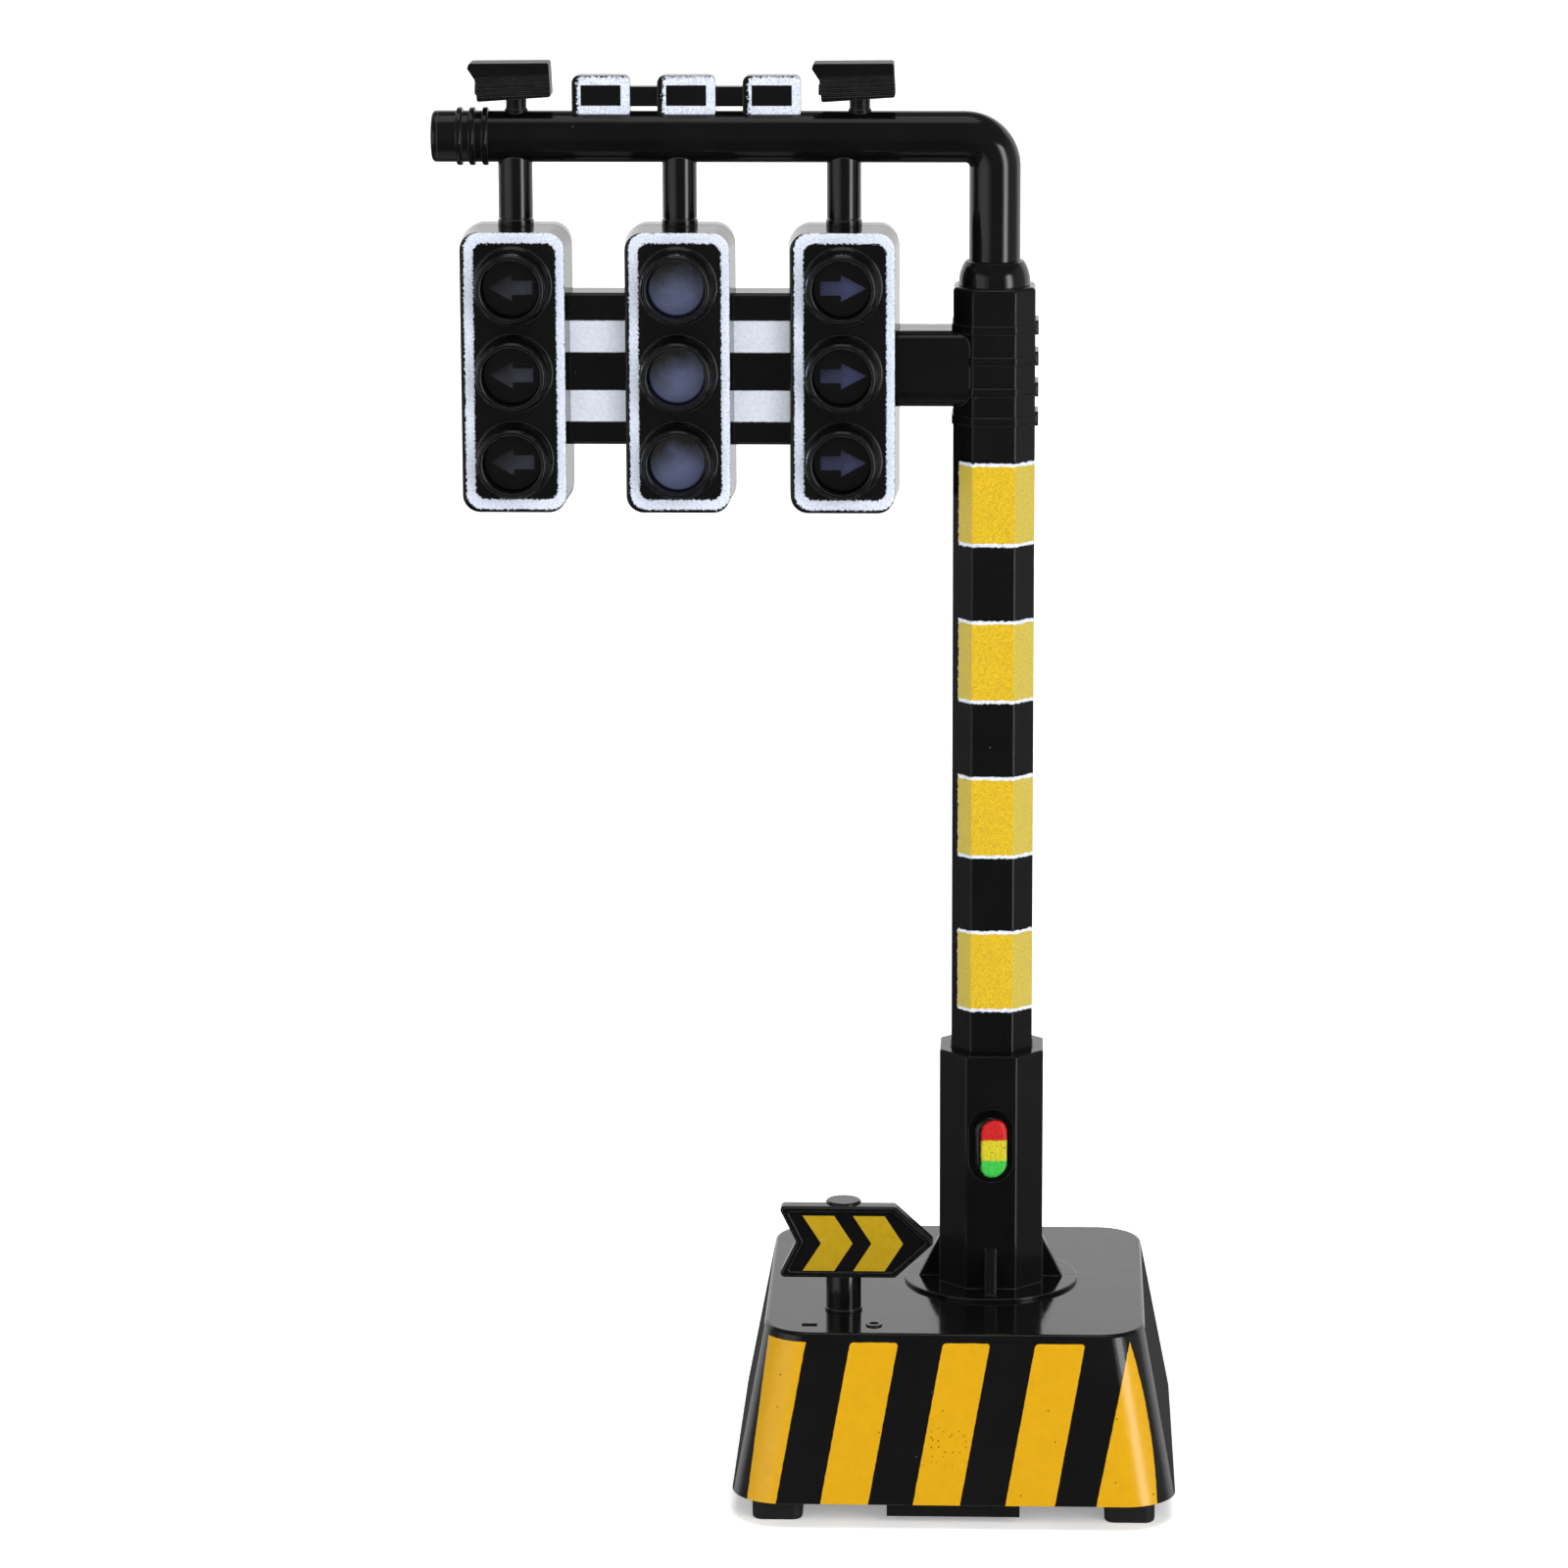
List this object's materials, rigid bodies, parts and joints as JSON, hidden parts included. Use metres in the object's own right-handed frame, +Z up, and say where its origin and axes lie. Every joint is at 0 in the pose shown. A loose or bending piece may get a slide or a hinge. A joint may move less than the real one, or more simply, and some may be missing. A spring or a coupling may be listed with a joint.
{
  "type": "toy traffic signal mast",
  "caption": "Toy road traffic signal: striped battery base, octagonal mast with push button, turning arrow switch, overhead tube with hanging lamp heads, cameras and a flash strip.",
  "frame": {"origin": "on the floor, under the middle of the whole outline: the overhead tube reaches 96 mm to the left of the base's middle and the base 41 mm to its right, so the base's middle is at x = +27.55 mm", "axes": "+Z up along the mast, front with the lamps and button towards -Y, the overhead tube reaches towards -X"},
  "size_m": [0.137, 0.082, 0.2652],
  "materials": {
    "base_plastic": "gloss",
    "mast_plastic": "gloss",
    "tube_plastic": "gloss",
    "head_plastic": "gloss, white printed border",
    "board_plastic": "gloss, white printed stripes",
    "strip_plastic": "gloss, white printed frames",
    "camera_plastic": "satin gloss",
    "sign_plastic": "gloss",
    "sign_print": "smooth print",
    "button_plastic": "three printed bands on black",
    "diffuser": "cloudy translucent",
    "mask_plastic": "satin",
    "underside_plastic": "satin",
    "foot_rubber": "matte",
    "screw_steel": "zinc plated",
    "contact_metal": "nickel plated",
    "cell_jacket": "gloss sleeve",
    "circuit_board": "solder mask",
    "component_plastic": "moulded",
    "led_resin": "clear resin",
    "speaker_metal": "pressed",
    "speaker_paper": "paper",
    "wire_jacket": "pvc"
  },
  "bodies": {
    "signal_mast": {"arrow_masks_left": "mask_plastic", "arrow_masks_right": "mask_plastic", "base_plate": "underside_plastic", "base_screws": "screw_steel", "base_shell": "base_plastic", "batteries": "cell_jacket", "battery_contacts": "contact_metal", "board_chips": "component_plastic", "button_board": "circuit_board", "camera_left": "camera_plastic", "camera_right": "camera_plastic", "control_board": "circuit_board", "cross_board_front": "board_plastic", "cross_board_rear": "board_plastic", "feet": "foot_rubber", "flange_screws": "screw_steel", "flash_strip": "strip_plastic", "flash_windows": "mask_plastic", "gantry_tube": "tube_plastic", "hanger_left": "tube_plastic", "hanger_middle": "tube_plastic", "hanger_right": "tube_plastic", "head_front_left": "head_plastic", "head_front_middle": "head_plastic", "head_front_right": "head_plastic", "head_rear_left": "head_plastic", "head_rear_middle": "head_plastic", "head_rear_right": "head_plastic", "head_screws": "screw_steel", "housing_front": "mast_plastic", "housing_rear": "mast_plastic", "led_board_left": "circuit_board", "led_board_middle": "circuit_board", "led_board_right": "circuit_board", "leds_left": "led_resin", "leds_middle": "led_resin", "leds_right": "led_resin", "lenses_left": "diffuser", "lenses_middle": "diffuser", "lenses_right": "diffuser", "mast_cap": "mast_plastic", "mast_front": "mast_plastic", "mast_rear": "mast_plastic", "mast_screws": "screw_steel", "mast_straps": "mast_plastic", "rotary_switch": "component_plastic", "speaker_cone": "speaker_paper", "speaker_frame": "speaker_metal", "tact_switch": "component_plastic", "tube_end_cap": "tube_plastic", "wire_bundle": "wire_jacket"},
    "sign": {"sign_post": "sign_plastic", "sign_plate": "sign_plastic", "sign_chevrons": "sign_print", "post_clip": "screw_steel"},
    "button": {"push_button": "button_plastic", "switch_plunger": "component_plastic"},
    "door": {"battery_door": "underside_plastic", "door_screw": "screw_steel"}
  },
  "joints": [
    {"name": "sign_turn", "type": "hinge", "parent": "signal_mast", "child": "sign", "pos_m": [0.00685, -0.0196, 0.0355], "axis": [0, 0, 1], "range_deg": [0, 180]},
    {"name": "button_press", "type": "slide", "parent": "signal_mast", "child": "button", "axis": [0, 1, 0], "range_m": [0, 0.0013], "stiffness_N_per_m": 250},
    {"name": "door_swing", "type": "hinge", "parent": "signal_mast", "child": "door", "pos_m": [0.02755, -0.0041, 0.0016], "axis": [1, 0, 0], "range_deg": [0, 100]}
  ]
}
